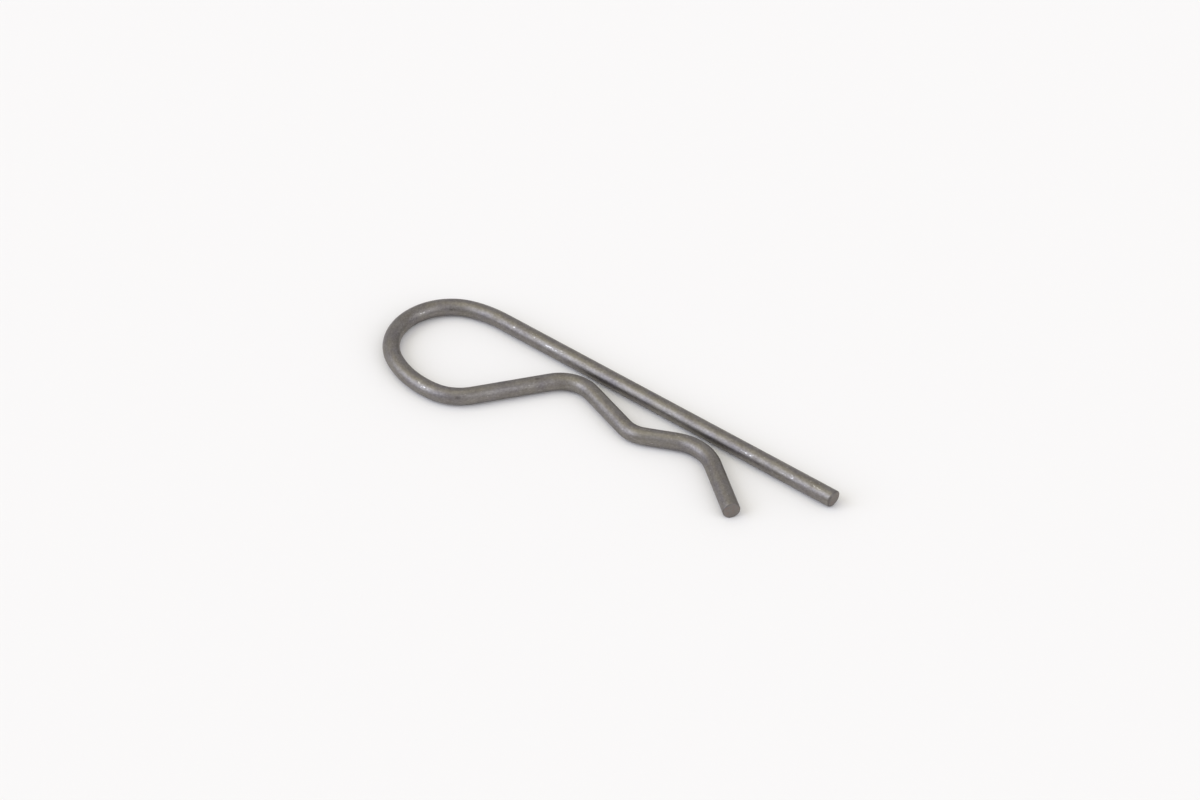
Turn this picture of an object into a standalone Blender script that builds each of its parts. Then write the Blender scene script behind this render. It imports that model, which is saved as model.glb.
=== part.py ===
"""Locking pin bent from one length of round spring wire.

The straight leg goes through a cross hole in a shaft. A drop-shaped loop, which is also
the finger pull, turns the wire back, and the bent leg snaps over the outside of the shaft:
a first bump that rides over it, a valley that seats on it, a second bump that keeps it
seated, and a flared tip that leads it on.

The wire is laid out as a wire bender makes it: straight runs and round bends, each tangent
to the last. The runs beside the bumps and the valley have no length of their own: each is as
long as it takes for the next bend to level out at its distance from the straight leg.

Blender 4.5, metres, +Z up. The pin lies flat on its side, with the straight leg along +X and
the origin on the ground under the middle of its box.
"""

import math

import bpy
from mathutils import Vector

NAME = "locking_pin"
NODE = "clip_wire"

# The wire
WIRE_DIAMETER = 0.0040
LEG_LENGTH = 0.0947              # straight leg, from the loop to its cut end
TIP_LENGTH = 0.0151              # straight end of the bent leg
END_ROUNDING = 0.0006            # rim of both cut ends

# The shaft that the pin locks, and the bent leg's clearance beside it
SHAFT_DIAMETER = 0.0180
BUMP_GAP = 0.0019                # clear space between each bump and the straight leg

# Bends, in the order in which the wire runs through them
LEAD_IN_RADIUS = 0.0287
CROWN_RADIUS = 0.0134
LEAD_OUT_RADIUS = 0.0238
HEEL_RADIUS = 0.0110
FIRST_BUMP_RADIUS = 0.0084
VALLEY_RADIUS = 0.0066
SECOND_BUMP_RADIUS = 0.0103

# Slopes between the bends, all measured from the straight leg's direction
LEAD_IN_SLOPE = math.radians(16.9)     # away from the leg, into the crown
LEAD_OUT_SLOPE = math.radians(29.1)    # away from the leg, out of the crown
HEEL_SLOPE = math.radians(8.2)         # towards the leg, into the heel
SHOULDER_SLOPE = math.radians(53.6)    # towards the leg, up to the first bump
ENTRY_SLOPE = math.radians(18.2)       # away from the leg, down to the valley
STOP_SLOPE = math.radians(25.9)        # towards the leg, up to the second bump
TIP_SLOPE = math.radians(36.8)         # away from the leg, out to the cut end

# Fineness of the faceted solid
TURN_STEP = math.radians(3.0)
RING_RESOLUTION = 10                   # gives 24 sides round the wire
ROUNDING_STEPS = 3

# Zinc-plated spring steel
STEEL_COLOUR = (0.19, 0.185, 0.175, 1.0)
STEEL_ROUGHNESS = 0.42

# Headings of the wire: down the straight leg, and forward again once the loop has turned it
BACK = math.pi
FORWARD = math.tau


def left_of(heading):
    """Unit vector to the left of a heading."""
    return Vector((-math.sin(heading), math.cos(heading)))


class WireAxis:
    """The wire's axis in plan, drawn run by run and bend by bend from one cut end."""

    def __init__(self, start, heading):
        self.points = [Vector(start)]
        self.heading = heading

    def run(self, length):
        """Goes straight on for this length."""
        ahead = Vector((math.cos(self.heading), math.sin(self.heading)))
        self.points.append(self.points[-1] + length * ahead)

    def bend(self, radius, heading):
        """Bends round to a heading, to the left where it is the greater one."""
        turn = heading - self.heading
        reach = math.copysign(radius, turn)
        centre = self.points[-1] + reach * left_of(self.heading)
        steps = math.ceil(abs(turn) / TURN_STEP)
        for i in range(1, steps + 1):
            self.points.append(centre - reach * left_of(self.heading + turn * i / steps))
        self.heading = heading

    def run_to_level(self, level, radius):
        """Goes straight on to where a bend of this radius would level out at this Y."""
        climb = math.sin(self.heading)
        climb_in_bend = radius * (1 - math.cos(self.heading))
        bend_start = level - math.copysign(climb_in_bend, climb)
        self.run((bend_start - self.points[-1].y) / climb)


def wire_axis():
    """Points of the axis from the straight leg's cut end to the flared tip's."""
    crest = -(WIRE_DIAMETER + BUMP_GAP)
    seat = -(SHAFT_DIAMETER + WIRE_DIAMETER) / 2

    axis = WireAxis((LEG_LENGTH, 0.0), BACK)
    axis.run(LEG_LENGTH)

    axis.bend(LEAD_IN_RADIUS, BACK + LEAD_IN_SLOPE)
    axis.bend(CROWN_RADIUS, FORWARD - LEAD_OUT_SLOPE)
    axis.bend(LEAD_OUT_RADIUS, FORWARD + HEEL_SLOPE)
    axis.bend(HEEL_RADIUS, FORWARD + SHOULDER_SLOPE)

    axis.run_to_level(crest, FIRST_BUMP_RADIUS)
    axis.bend(FIRST_BUMP_RADIUS, FORWARD - ENTRY_SLOPE)
    axis.run_to_level(seat, VALLEY_RADIUS)
    axis.bend(VALLEY_RADIUS, FORWARD + STOP_SLOPE)
    axis.run_to_level(crest, SECOND_BUMP_RADIUS)
    axis.bend(SECOND_BUMP_RADIUS, FORWARD - TIP_SLOPE)
    axis.run(TIP_LENGTH)
    return axis.points


def rounded_end(face, body):
    """Axis points and wire radii from a cut face to full thickness, along the end's run."""
    inward = (body - face).normalized()
    rings = []
    for i in range(ROUNDING_STEPS + 1):
        angle = math.pi / 2 * i / ROUNDING_STEPS
        inset = END_ROUNDING * (1 - math.cos(angle))
        cut_back = END_ROUNDING * (1 - math.sin(angle))
        rings.append((face + inset * inward, WIRE_DIAMETER / 2 - cut_back))
    return rings


def wire_rings():
    """Centre and radius of each ring of the wire, from end to end."""
    points = wire_axis()
    start = rounded_end(points[0], points[1])
    body = [(point, WIRE_DIAMETER / 2) for point in points[1:-1]]
    end = rounded_end(points[-1], points[-2])
    return start + body + end[::-1]


def box_middle(rings):
    """Middle, in plan, of the box round the wire."""
    sides = []
    last = len(rings) - 1
    for i, (centre, radius) in enumerate(rings):
        along = rings[min(i + 1, last)][0] - rings[max(i - 1, 0)][0]
        across = radius * left_of(math.atan2(along.y, along.x))
        sides += [centre + across, centre - across]
    xs = [side.x for side in sides]
    ys = [side.y for side in sides]
    return Vector((min(xs) + max(xs), min(ys) + max(ys))) / 2


def steel():
    """Bright zinc over drawn spring steel."""
    material = bpy.data.materials.new("zinc_plated_spring_steel")
    material.use_nodes = True
    shader = material.node_tree.nodes["Principled BSDF"]
    shader.inputs["Base Color"].default_value = STEEL_COLOUR
    shader.inputs["Metallic"].default_value = 1.0
    shader.inputs["Roughness"].default_value = STEEL_ROUGHNESS
    return material


def clip_wire():
    """The whole pin: one round wire, thinned at the rims of its cut ends."""
    rings = wire_rings()
    middle = box_middle(rings)

    curve = bpy.data.curves.new(NODE, "CURVE")
    curve.dimensions = "3D"
    curve.bevel_depth = WIRE_DIAMETER / 2
    curve.bevel_resolution = RING_RESOLUTION
    curve.use_fill_caps = True
    curve.materials.append(steel())

    spline = curve.splines.new("POLY")
    spline.use_smooth = True
    spline.points.add(len(rings) - 1)
    for point, (centre, radius) in zip(spline.points, rings):
        point.co = (*(centre - middle), 0.0, 1.0)
        point.radius = radius / curve.bevel_depth

    wire = bpy.data.objects.new(NODE, curve)
    wire.location.z = WIRE_DIAMETER / 2
    return wire


def main():
    for obj in list(bpy.data.objects):
        bpy.data.objects.remove(obj, do_unlink=True)
    collection = bpy.data.collections.new(NAME)
    bpy.context.scene.collection.children.link(collection)
    collection.objects.link(clip_wire())


main()
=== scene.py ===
"""Looks of the locking pin: one bent length of dull zinc-plated spring wire.

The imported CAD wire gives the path. A finer wire is drawn along it, with the soft bends, worn
rims, sheared ends and nicks of the real one, and is shown instead of the CAD wire.

Metres and +Z up, as in the frame. A place on the wire is given as it was before bending: how
far along it is from the straight leg's cut end, in millimetres, and its angle round the wire.
Angle 0 faces left as the wire runs on from that end, and 90 degrees is the top as the pin lies.
"""

import math

import bpy
import numpy as np
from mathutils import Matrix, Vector, noise


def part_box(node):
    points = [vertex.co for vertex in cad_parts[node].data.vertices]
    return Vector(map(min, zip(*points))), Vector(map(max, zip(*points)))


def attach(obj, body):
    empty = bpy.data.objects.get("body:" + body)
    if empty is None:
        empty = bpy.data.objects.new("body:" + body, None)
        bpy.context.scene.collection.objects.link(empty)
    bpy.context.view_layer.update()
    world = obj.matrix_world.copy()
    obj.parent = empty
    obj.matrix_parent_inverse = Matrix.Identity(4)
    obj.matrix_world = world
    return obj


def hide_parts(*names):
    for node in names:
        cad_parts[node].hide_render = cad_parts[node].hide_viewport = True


MM = 0.001

# Camera at the photograph's viewing angle
VIEW_TARGET = Vector((-0.0027, 0.00736, 0.0020))
VIEW_AZIMUTH = 39.18
VIEW_ELEVATION = 41.82
VIEW_DISTANCE = 0.6182
LENS_MM = 82.2
SENSOR_MM = 36.0
NEAREST_SEEN = 0.01
FARTHEST_SEEN = 20.0

# Floor and surround
TABLE_WIDTH = 8.0
TABLE_COLOUR = "#EFEDEB"
TABLE_ROUGHNESS = 0.9
SURROUND_COLOUR = "#FDFCFF"
SURROUND_STRENGTH = 0.68

# Points of the CAD wire's mesh
SAME_PLACE_DIGITS = 7        # points that agree to this many digits of a metre are one
TOP_TOLERANCE = 0.001 * MM   # how far below the highest point the top line may lie

# Fineness of the wire's mesh
RING_STEP = 0.27 * MM
SIDES = 96
RIM_STEPS = 8
FACE_STEPS = 10

# Form of the wire
SOLID_RIM = 0.60 * MM        # rounding of the cut ends of the CAD wire
BEND_SOFTENING = 0.7 * MM    # how gently a straight run passes into a bend
SOFTENING_REACH = 4          # how many times that far the softening is felt
NICK_DEPTH = 0.030 * MM

# Cut ends: mean rounding of the rim, degrees round where the blade came down, and a seed
LEG_END = (0.68 * MM, 315, 250)    # rounder, from the holes that it has been pushed into
TIP_END = (0.36 * MM, 60, 70)
END_LENGTH = 1.5 * MM              # room along the wire for the rings of an end
ROLLOVER = 0.30                    # share of the rim gained under the blade, and lost opposite
RIM_WEAR = 0.30                    # share of the rim gained or lost by wear
RIM_WEAR_PATCHES = 1.6             # how broken up the wear is round the rim
SHEAR_TILT = 0.05 * MM             # how far a cut face leans back at its edge
SHEAR_RELIEF = 0.05 * MM           # unevenness of a cut face
TORN_PATCH_MM = 0.7                # size of the torn grain that makes it uneven
TORN_DETAIL = (0.8, 2.1, 4)        # how its octaves fade, their ratio, and how many

# Nicks and scratches, whose bright colour is partly rubbed zinc and partly a painted glint: mm along,
# degrees round, half length and half width in mm
NICKS_AND_GLINTS = (
    # Straight leg, from the loop to the cut end
    (90.2, 49, 0.3, 0.17),
    (84.3, 53, 0.3, 0.22),
    (79.1, 44, 2.1, 0.16),
    (75.9, 56, 0.6, 0.18),
    (44.1, 37, 0.5, 0.16),
    (22.2, 43, 2.0, 0.18),
    (12.9, 41, 0.9, 0.16),
    (10.6, 42, 0.4, 0.30),
    (4.6, 61, 1.2, 0.19),
    # Loop
    (116.5, 38, 1.4, 0.20),
    (146.4, 120, 0.5, 0.22),
    (148.2, 134, 0.8, 0.36),
)

# Dull stains, given in the same way
STAINS = (
    # Loop
    (108.3, 25, 0.8, 0.40),
    (135.1, 64, 0.7, 0.45),
    # Bent leg, up to the first bump
    (155.6, 150, 0.9, 0.65),
    (173.9, 101, 0.9, 0.55),
)

# Patterns of the surface: size across and along the wire in mm, and octaves of finer detail
PATTERNS = {
    # Patches where the plating is thicker, thinner or duller
    "clouds": (2.4, 3.8, 3.0),
    # Crystals of zinc. Real ones are some thousandths of a mm, so these are drawn coarser
    "speckle": (0.42, 0.55, 2.0),
    # Faint colours of the film on the zinc
    "tints": (3.0, 3.0, 2.0),
    # Ripple that straightening and bending leave in the wire
    "waves": (0.9, 2.0, 2.0),
    # Lines from the drawing die. Real ones are about 0.02 mm apart, so these are drawn coarser
    "lines": (0.14, 9.0, 2.0),
    # Small spots that break up a nick and its painted glint, where the zinc is rubbed bright
    "flecks": (0.26, 0.60, 1.0),
    # Torn grain of the cut faces, where they start to rust
    "torn": (0.70, 0.70, 3.0),
}


def linear(hex_colour):
    """An sRGB hex colour as linear RGBA."""
    parts = [int(hex_colour[i : i + 2], 16) / 255 for i in (1, 3, 5)]
    levels = [part / 12.92 if part <= 0.04045 else ((part + 0.055) / 1.055) ** 2.4 for part in parts]
    return (*levels, 1.0)


def add_node(tree, kind, settings, inputs):
    """Adds a node with its settings. Each input is a value or the output that it is linked from."""
    node = tree.nodes.new(kind)
    for name, value in settings.items():
        setattr(node, name, value)
    for key, value in inputs.items():
        if isinstance(value, bpy.types.NodeSocket):
            tree.links.new(value, node.inputs[key])
        else:
            node.inputs[key].default_value = value
    return node


def distance_along(line):
    """How far along a line each of its points is."""
    return np.append(0.0, np.cumsum(np.linalg.norm(np.diff(line, axis=0), axis=1)))


def crest_line(node):
    """The CAD wire's top line in plan, from the straight leg's end to the bent tip's."""
    points = np.array([vertex.co for vertex in node.data.vertices])
    places, place_of = np.unique(points.round(SAME_PLACE_DIGITS), axis=0, return_inverse=True)
    place_of = place_of.ravel()
    on_top = places[:, 2] > places[:, 2].max() - TOP_TOLERANCE

    beside = {}
    for edge in node.data.edges:
        a, b = place_of[list(edge.vertices)]
        if a != b and on_top[a] and on_top[b]:
            beside.setdefault(a, set()).add(b)
            beside.setdefault(b, set()).add(a)

    ends = [place for place, others in beside.items() if len(others) == 1]
    line = [max(ends, key=lambda place: places[place, 0])]
    while ahead := beside[line[-1]] - set(line[-2:]):
        line.append(ahead.pop())
    return places[line, :2]


def soft_axis(line):
    """Even points of the wire's axis in plan, from cut face to cut face, with soft bends."""
    first = line[0] + SOLID_RIM * (line[0] - line[1]) / np.linalg.norm(line[0] - line[1])
    last = line[-1] + SOLID_RIM * (line[-1] - line[-2]) / np.linalg.norm(line[-1] - line[-2])
    line = np.vstack([first, line, last])
    along = distance_along(line)
    even = np.linspace(0.0, along[-1], round(along[-1] / RING_STEP) + 1)
    points = np.stack([np.interp(even, along, line[:, k]) for k in (0, 1)], axis=1)

    # Each point becomes a bell-weighted mean of its neighbours, with both end runs carried on
    reach = round(SOFTENING_REACH * BEND_SOFTENING / RING_STEP)
    weights = np.exp(-0.5 * (np.arange(-reach, reach + 1) * RING_STEP / BEND_SOFTENING) ** 2)
    weights /= weights.sum()
    before = 2 * points[0] - points[reach:0:-1]
    after = 2 * points[-1] - points[-2 : -reach - 2 : -1]
    padded = np.vstack([before, points, after])
    return np.stack([np.convolve(padded[:, k], weights, "valid") for k in (0, 1)], axis=1)


def cut_end(turn, radius, mean_rim, blade_side, seed):
    """Rings of a cut end, from near the middle of its face out to the wire's side.

    Gives each point's depth behind the face, its radius, and how far it is part of the cut,
    from 1 on the face to 0 on the wire's side.
    """
    blade = np.cos(turn - math.radians(blade_side))
    spots = RIM_WEAR_PATCHES * np.stack([np.cos(turn), np.sin(turn)], axis=1)
    wear = np.array([noise.noise(Vector((*spot, seed))) for spot in spots])
    rim = mean_rim * (1 + ROLLOVER * blade + RIM_WEAR * wear)

    # The flat of the face, then its rounded rim
    share = np.arange(1, FACE_STEPS)[:, None] / FACE_STEPS
    angle = np.linspace(0.0, math.pi / 2, RIM_STEPS + 1)[:, None]
    radii = np.vstack([share * (radius - rim), radius - rim * (1 - np.sin(angle))])
    depth = np.vstack([0 * share * rim, rim * (1 - np.cos(angle))])
    cut = np.vstack([0 * share * rim + 1, np.cos(angle) + 0 * rim])

    # The lean of the cut and its torn grain
    patches = np.stack([radii * np.cos(turn), radii * np.sin(turn)], axis=2) / MM / TORN_PATCH_MM
    torn = np.empty(radii.shape)
    for spot in np.ndindex(radii.shape):
        torn[spot] = 0.5 + 0.5 * noise.fractal(Vector((*patches[spot], seed)), *TORN_DETAIL)
    leaning = SHEAR_TILT * (1 + blade * radii / radius)
    depth += cut * (leaning + SHEAR_RELIEF * np.clip(torn, 0, 1))
    return depth, radii, cut


def straight_wire(turn, radius, length):
    """The wire before bending, ring by ring from the leg's end to the tip's.

    Gives each point's distance along the wire, its radius, and how far it is part of a cut.
    """
    depth, end_radii, end_cut = cut_end(turn, radius, *LEG_END)
    far_depth, far_radii, far_cut = cut_end(turn, radius, *TIP_END)
    body = np.arange(END_LENGTH, length - END_LENGTH, RING_STEP)[:, None] + 0 * turn
    along = np.vstack([depth, body, length - far_depth[::-1]])
    radii = np.vstack([end_radii, 0 * body + radius, far_radii[::-1]])
    cut = np.vstack([end_cut, 0 * body, far_cut[::-1]])
    return along, radii, cut


def marked(marks, along, turn, radius):
    """How deep each point of the wire lies in the marks, from 0 to 1."""
    depth = np.zeros(along.shape)
    for mark_along, degrees, half_length, half_width in marks:
        beyond = (along / MM - mark_along) / half_length
        swing = (turn - math.radians(degrees) + math.pi) % math.tau - math.pi
        aside = radius / MM * swing / half_width
        depth = np.maximum(depth, np.exp(-(beyond**2) - aside**2))
    return depth


def bent_along(axis, along, out, height):
    """Points of the straight wire once it is bent, with those that lie out to its left."""
    axis_along = distance_along(axis)
    heading = np.gradient(axis, axis=0)
    heading /= np.linalg.norm(heading, axis=1)[:, None]
    left_x = -np.interp(along, axis_along, heading[:, 1])
    left_y = np.interp(along, axis_along, heading[:, 0])
    x = np.interp(along, axis_along, axis[:, 0]) + out * left_x
    y = np.interp(along, axis_along, axis[:, 1]) + out * left_y
    return np.dstack([x, y, height])


def ring_faces(rings):
    """Faces between this many rings, then those from both end rings to the middles after them."""
    faces = []
    last_ring = (rings - 1) * SIDES
    for here in range(0, last_ring, SIDES):
        for side in range(SIDES):
            beside = (side + 1) % SIDES
            faces.append((here + side, here + SIDES + side, here + SIDES + beside, here + beside))

    first_middle = rings * SIDES
    last_middle = first_middle + 1
    for side in range(SIDES):
        beside = (side + 1) % SIDES
        faces.append((first_middle, side, beside))
        faces.append((last_middle, last_ring + beside, last_ring + side))
    return faces


def pin_mesh(node):
    """The fine wire's mesh, with each point's place on the straight wire in mm and its marks."""
    low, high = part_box(node.name)
    radius = (high[2] - low[2]) / 2
    axis = soft_axis(crest_line(node))
    turn = np.arange(SIDES) * math.tau / SIDES
    along, radii, cut = straight_wire(turn, radius, distance_along(axis)[-1])
    # Nicks dent the wire, and in the material their bright colour is partly a painted glint
    nicked_and_glinting = marked(NICKS_AND_GLINTS, along, turn, radius)
    stained = marked(STAINS, along, turn, radius)

    out = radii * np.cos(turn)
    up = radii * np.sin(turn)
    straight = np.dstack([out, up, along]) / MM
    dented = 1 - NICK_DEPTH / radius * nicked_and_glinting
    bent = bent_along(axis, along, dented * out, radius + dented * up)

    # Points ring by ring, then the middle of each cut face
    points = np.vstack([bent.reshape(-1, 3), bent[0].mean(axis=0), bent[-1].mean(axis=0)])
    places = np.vstack([straight.reshape(-1, 3), straight[0].mean(axis=0), straight[-1].mean(axis=0)])
    mesh = bpy.data.meshes.new("pin_wire")
    mesh.from_pydata(points.tolist(), [], ring_faces(len(bent)))
    mesh.polygons.foreach_set("use_smooth", [True] * len(mesh.polygons))

    layer = mesh.attributes.new("place_on_wire", "FLOAT_VECTOR", "POINT")
    layer.data.foreach_set("vector", places.astype(np.float32).ravel())
    marks = (
        ("nicked_and_glinting", nicked_and_glinting, 0.0),
        ("stained", stained, 0.0),
        ("sheared", cut, 1.0),
    )
    for name, values, at_middle in marks:
        layer = mesh.attributes.new(name, "FLOAT", "POINT")
        layer.data.foreach_set("value", np.append(values, [at_middle] * 2).astype(np.float32))
    return mesh


def zinc_plated_steel():
    """Dull electroplated zinc on drawn spring steel.

    The plating is a grey satin metal. It gives the eye cloudy patches, a fine mottle where it
    glints, faint lines along the wire from the drawing die, and a cast that turns from olive to
    lilac. It is bright where it is nicked, partly as rubbed zinc and partly as a painted glint,
    dull where it is stained, and missing from the cut faces, which are rough bare steel with a
    first bloom of rust.
    """
    material = bpy.data.materials.new("zinc_plated_drawn_spring_steel")
    material.use_nodes = True
    tree = material.node_tree
    shader = tree.nodes["Principled BSDF"]
    shader.inputs["Metallic"].default_value = 1.0

    place = add_node(tree, "ShaderNodeAttribute", {"attribute_name": "place_on_wire"}, {})
    nicked_and_glinting = add_node(tree, "ShaderNodeAttribute", {"attribute_name": "nicked_and_glinting"}, {})
    stained = add_node(tree, "ShaderNodeAttribute", {"attribute_name": "stained"}, {})
    sheared = add_node(tree, "ShaderNodeAttribute", {"attribute_name": "sheared"}, {})

    # Every pattern and coat has a level over the surface, which the next steps take by name
    level = {"sheared": sheared.outputs["Fac"]}
    for name, (across, along, detail) in PATTERNS.items():
        sizes = {0: place.outputs["Vector"], 1: (across, across, along)}
        scaled = add_node(tree, "ShaderNodeVectorMath", {"operation": "DIVIDE"}, sizes)
        grain = {"Vector": scaled.outputs["Vector"], "Scale": 1.0, "Detail": detail}
        level[name] = add_node(tree, "ShaderNodeTexNoise", {}, grain).outputs["Fac"]

    # A mark lifts its pattern by this much at its deepest, so that the pattern breaks up its outline
    lifted = (
        # The nicks' mask, broken up by flecks, carries rubbed zinc and a painted glint
        ("rubbed_and_glinting", "flecks", nicked_and_glinting, 0.35),
        ("dulled", "clouds", stained, 0.42),
    )
    for name, pattern, mark, lift in lifted:
        sums = {0: mark.outputs["Fac"], 1: lift, 2: level[pattern]}
        level[name] = add_node(tree, "ShaderNodeMath", {"operation": "MULTIPLY_ADD"}, sums).outputs[0]

    # Rust starts in the torn grain, on the cut faces only
    product = {0: level["torn"], 1: level["sheared"]}
    level["rusting"] = add_node(tree, "ShaderNodeMath", {"operation": "MULTIPLY"}, product).outputs[0]

    # Each coat goes over the last: its pattern, the levels where it starts and is full, its colour
    colour = linear("#726C63")
    coats = (
        ("lilac_film", "tints", 0.30, 0.70, "#6C676A"),
        ("thick_plating", "clouds", 0.20, 1.10, "#8D8983"),
        ("crystals", "speckle", 0.35, 1.60, "#AAA6A2"),
        ("stain", "dulled", 0.68, 1.10, "#443F3C"),
        # The nick's bright colour is partly rubbed zinc and partly a painted glint along the wire's
        # lit band
        ("nick_and_painted_glint", "rubbed_and_glinting", 0.70, 0.88, "#B8B5B1"),
        # A darker band round the rim of each cut end, between the wire's side and its cut face
        ("darker_rim_band", "sheared", 0.10, 0.60, "#6B6663"),
        ("cut_face", "sheared", 0.60, 1.00, "#85807B"),
        ("first_rust", "rusting", 0.50, 0.68, "#887B76"),
    )
    for name, pattern, start, full, over in coats:
        limits = {"Value": level[pattern], "From Min": start, "From Max": full}
        level[name] = add_node(tree, "ShaderNodeMapRange", {}, limits).outputs["Result"]
        mixed = {"Factor": level[name], "A": colour, "B": linear(over)}
        colour = add_node(tree, "ShaderNodeMix", {"data_type": "RGBA"}, mixed).outputs["Result"]
    tree.links.new(colour, shader.inputs["Base Color"])

    # Roughness of the plating, and what each pattern or coat adds at full level
    roughness = 0.43
    changes = (
        ("clouds", -0.18),
        ("waves", 0.14),
        ("lines", 0.08),
        ("nick_and_painted_glint", -0.10),
        ("cut_face", 0.16),
    )
    for name, change in changes:
        sums = {0: level[name], 1: change, 2: roughness}
        roughness = add_node(tree, "ShaderNodeMath", {"operation": "MULTIPLY_ADD"}, sums).outputs[0]
    tree.links.new(roughness, shader.inputs["Roughness"])

    # Height of the surface in mm, in the same way
    height = 0.0
    reliefs = (
        ("waves", 0.018),
        ("clouds", 0.016),
        ("speckle", 0.004),
        ("lines", 0.0025),
        ("nick_and_painted_glint", -0.004),
        ("rusting", 0.040),
    )
    for name, relief in reliefs:
        sums = {0: level[name], 1: relief, 2: height}
        height = add_node(tree, "ShaderNodeMath", {"operation": "MULTIPLY_ADD"}, sums).outputs[0]
    bump = add_node(tree, "ShaderNodeBump", {}, {"Strength": 1.0, "Distance": MM, "Height": height})
    tree.links.new(bump.outputs["Normal"], shader.inputs["Normal"])
    return material


def pin_wire(node):
    """The fine wire, shown instead of the CAD wire."""
    mesh = pin_mesh(node)
    mesh.materials.append(zinc_plated_steel())
    wire = bpy.data.objects.new("pin_wire", mesh)
    bpy.context.scene.collection.objects.link(wire)
    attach(wire, "root")
    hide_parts(node.name)


def table_top():
    """A plain floor of matt white laminate, which takes the pin's shadow and reflects nothing."""
    material = bpy.data.materials.new("matt_white_laminate")
    material.use_nodes = True
    shader = material.node_tree.nodes["Principled BSDF"]
    shader.inputs["Base Color"].default_value = linear(TABLE_COLOUR)
    shader.inputs["Roughness"].default_value = TABLE_ROUGHNESS
    shader.inputs["Specular IOR Level"].default_value = 0.0

    mesh = bpy.data.meshes.new("table_top")
    edge = TABLE_WIDTH / 2
    corners = [(-edge, -edge, 0), (edge, -edge, 0), (edge, edge, 0), (-edge, edge, 0)]
    mesh.from_pydata(corners, [], [(0, 1, 2, 3)])
    mesh.materials.append(material)
    table = bpy.data.objects.new("table_top", mesh)
    bpy.context.scene.collection.objects.link(table)


def away(azimuth, elevation):
    """Unit vector from the pin towards a camera or lamp, in degrees. Azimuth 0 looks along +Y."""
    turn = math.radians(azimuth)
    tilt = math.radians(elevation)
    return Vector((math.sin(turn) * math.cos(tilt), -math.cos(turn) * math.cos(tilt), math.sin(tilt)))


def surround():
    """A plain, nearly white surround."""
    world = bpy.data.worlds.new("white_surround")
    world.use_nodes = True
    background = world.node_tree.nodes["Background"]
    background.inputs["Color"].default_value = linear(SURROUND_COLOUR)
    background.inputs["Strength"].default_value = SURROUND_STRENGTH
    bpy.context.scene.world = world


def softbox(name, azimuth, elevation, spread, strength, colour):
    """A wide soft lamp, far off, that fills this many degrees of the surround."""
    lamp = bpy.data.lights.new(name, "SUN")
    lamp.angle = math.radians(spread)
    lamp.energy = strength
    lamp.color = linear(colour)[:3]
    source = bpy.data.objects.new(name, lamp)
    source.rotation_euler = (-away(azimuth, elevation)).to_track_quat("-Z", "Y").to_euler()
    bpy.context.scene.collection.objects.link(source)


def camera():
    """The photograph's view."""
    lens = bpy.data.cameras.new("camera")
    lens.lens = LENS_MM
    lens.sensor_width = SENSOR_MM
    lens.clip_start = NEAREST_SEEN
    lens.clip_end = FARTHEST_SEEN
    eye = bpy.data.objects.new("camera", lens)
    back = away(VIEW_AZIMUTH, VIEW_ELEVATION)
    eye.location = VIEW_TARGET + VIEW_DISTANCE * back
    eye.rotation_euler = (-back).to_track_quat("-Z", "Y").to_euler()
    bpy.context.scene.collection.objects.link(eye)
    bpy.context.scene.camera = eye


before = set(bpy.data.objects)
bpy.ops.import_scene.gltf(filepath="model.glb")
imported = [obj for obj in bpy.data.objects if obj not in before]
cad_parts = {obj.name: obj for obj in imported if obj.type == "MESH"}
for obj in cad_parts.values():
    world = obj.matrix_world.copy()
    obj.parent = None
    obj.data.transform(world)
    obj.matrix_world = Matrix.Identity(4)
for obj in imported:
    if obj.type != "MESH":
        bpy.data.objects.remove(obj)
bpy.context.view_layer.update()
bpy.context.scene.view_settings.view_transform = "Standard"

pin_wire(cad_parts["clip_wire"])
table_top()
surround()
softbox("key_softbox", azimuth=-37, elevation=34, spread=50, strength=1.35, colour="#E1E9FF")
softbox("top_softbox", azimuth=-64, elevation=66, spread=60, strength=0.44, colour="#FFF8BE")
softbox("fill_softbox", azimuth=89, elevation=35, spread=55, strength=0.84, colour="#F1F6FF")
camera()
